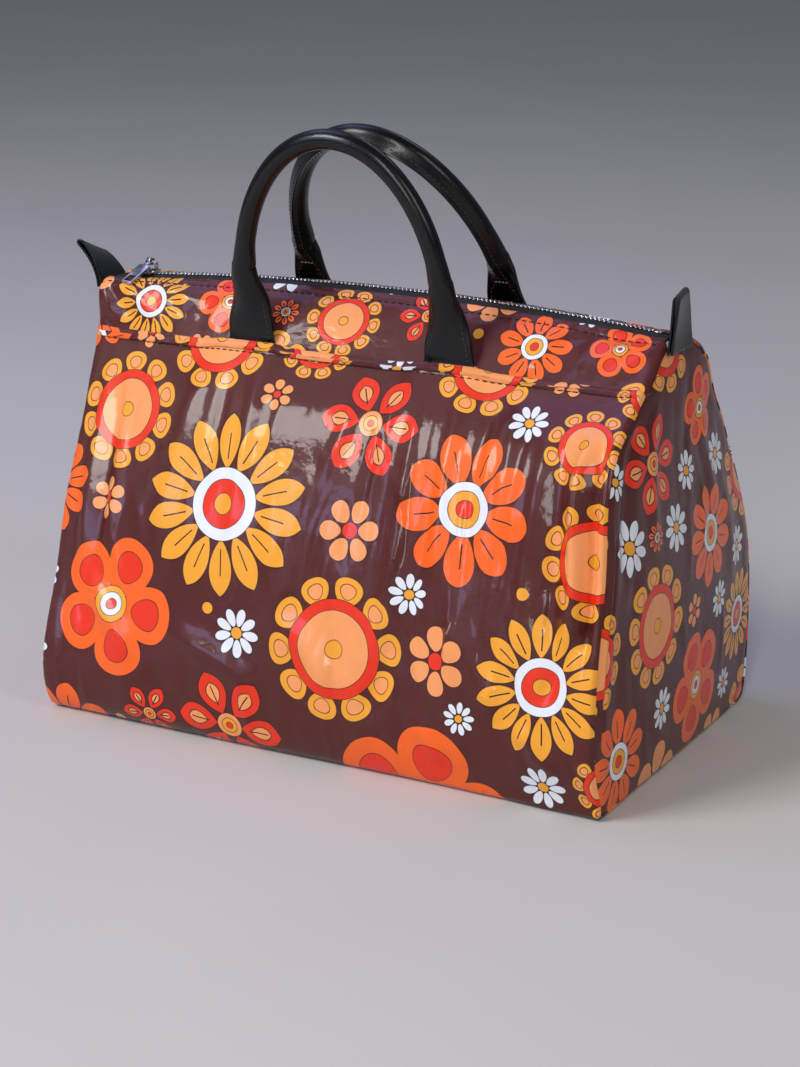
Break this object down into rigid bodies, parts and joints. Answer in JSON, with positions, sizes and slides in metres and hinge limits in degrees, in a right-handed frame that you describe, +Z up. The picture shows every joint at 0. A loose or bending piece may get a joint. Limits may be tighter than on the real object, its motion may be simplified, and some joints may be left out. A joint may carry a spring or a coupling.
{
  "type": "bowling bag",
  "caption": "Soft zip-top bowling bag in glossy coated printed cloth, with rolled leather handles, folded tabs at the ends of the zip and a flat stiffened base.",
  "frame": {"origin": "middle of the base, on the surface that the bag stands on", "axes": "+X along the zip to the open end, +Y to the back of the bag, +Z up"},
  "size_m": [0.4115, 0.2463, 0.3664],
  "materials": {
    "printed_cloth": "glossy coated cotton, printed with large flowers on dark brown",
    "stiff_board": "matt board",
    "zip_cloth": "woven zip tape",
    "zip_metal": "polished nickel colour",
    "black_leather": "smooth satin leather with edge stitching"
  },
  "bodies": {
    "bag": {"lower_panel": "printed_cloth", "yoke_front": "printed_cloth", "yoke_back": "printed_cloth", "gusset_left": "printed_cloth", "gusset_right": "printed_cloth", "base_board": "stiff_board", "zip_tape_front": "zip_cloth", "zip_tape_back": "zip_cloth", "zip_teeth_front": "zip_metal", "zip_teeth_back": "zip_metal", "zip_bottom_stop": "zip_metal", "zip_top_stops": "zip_metal", "zip_tab_left": "black_leather", "zip_tab_right": "black_leather", "handle_front": "black_leather", "handle_back": "black_leather"},
    "slider": {"zip_slider": "zip_metal"},
    "pull": {"zip_pull": "zip_metal"}
  },
  "joints": [
    {"name": "slider_travel", "type": "hinge", "parent": "bag", "child": "slider", "pos_m": [-0.015, 0, -1.632], "axis": [0, 1, 0], "range_deg": [0, 10.1], "deforming": ["zip_teeth_front", "zip_teeth_back"]},
    {"name": "pull_swing", "type": "hinge", "parent": "slider", "child": "pull", "pos_m": [-0.17571, 0, 0.26666], "axis": [-0.9659, 0.2588, 0], "range_deg": [0, 125]}
  ]
}
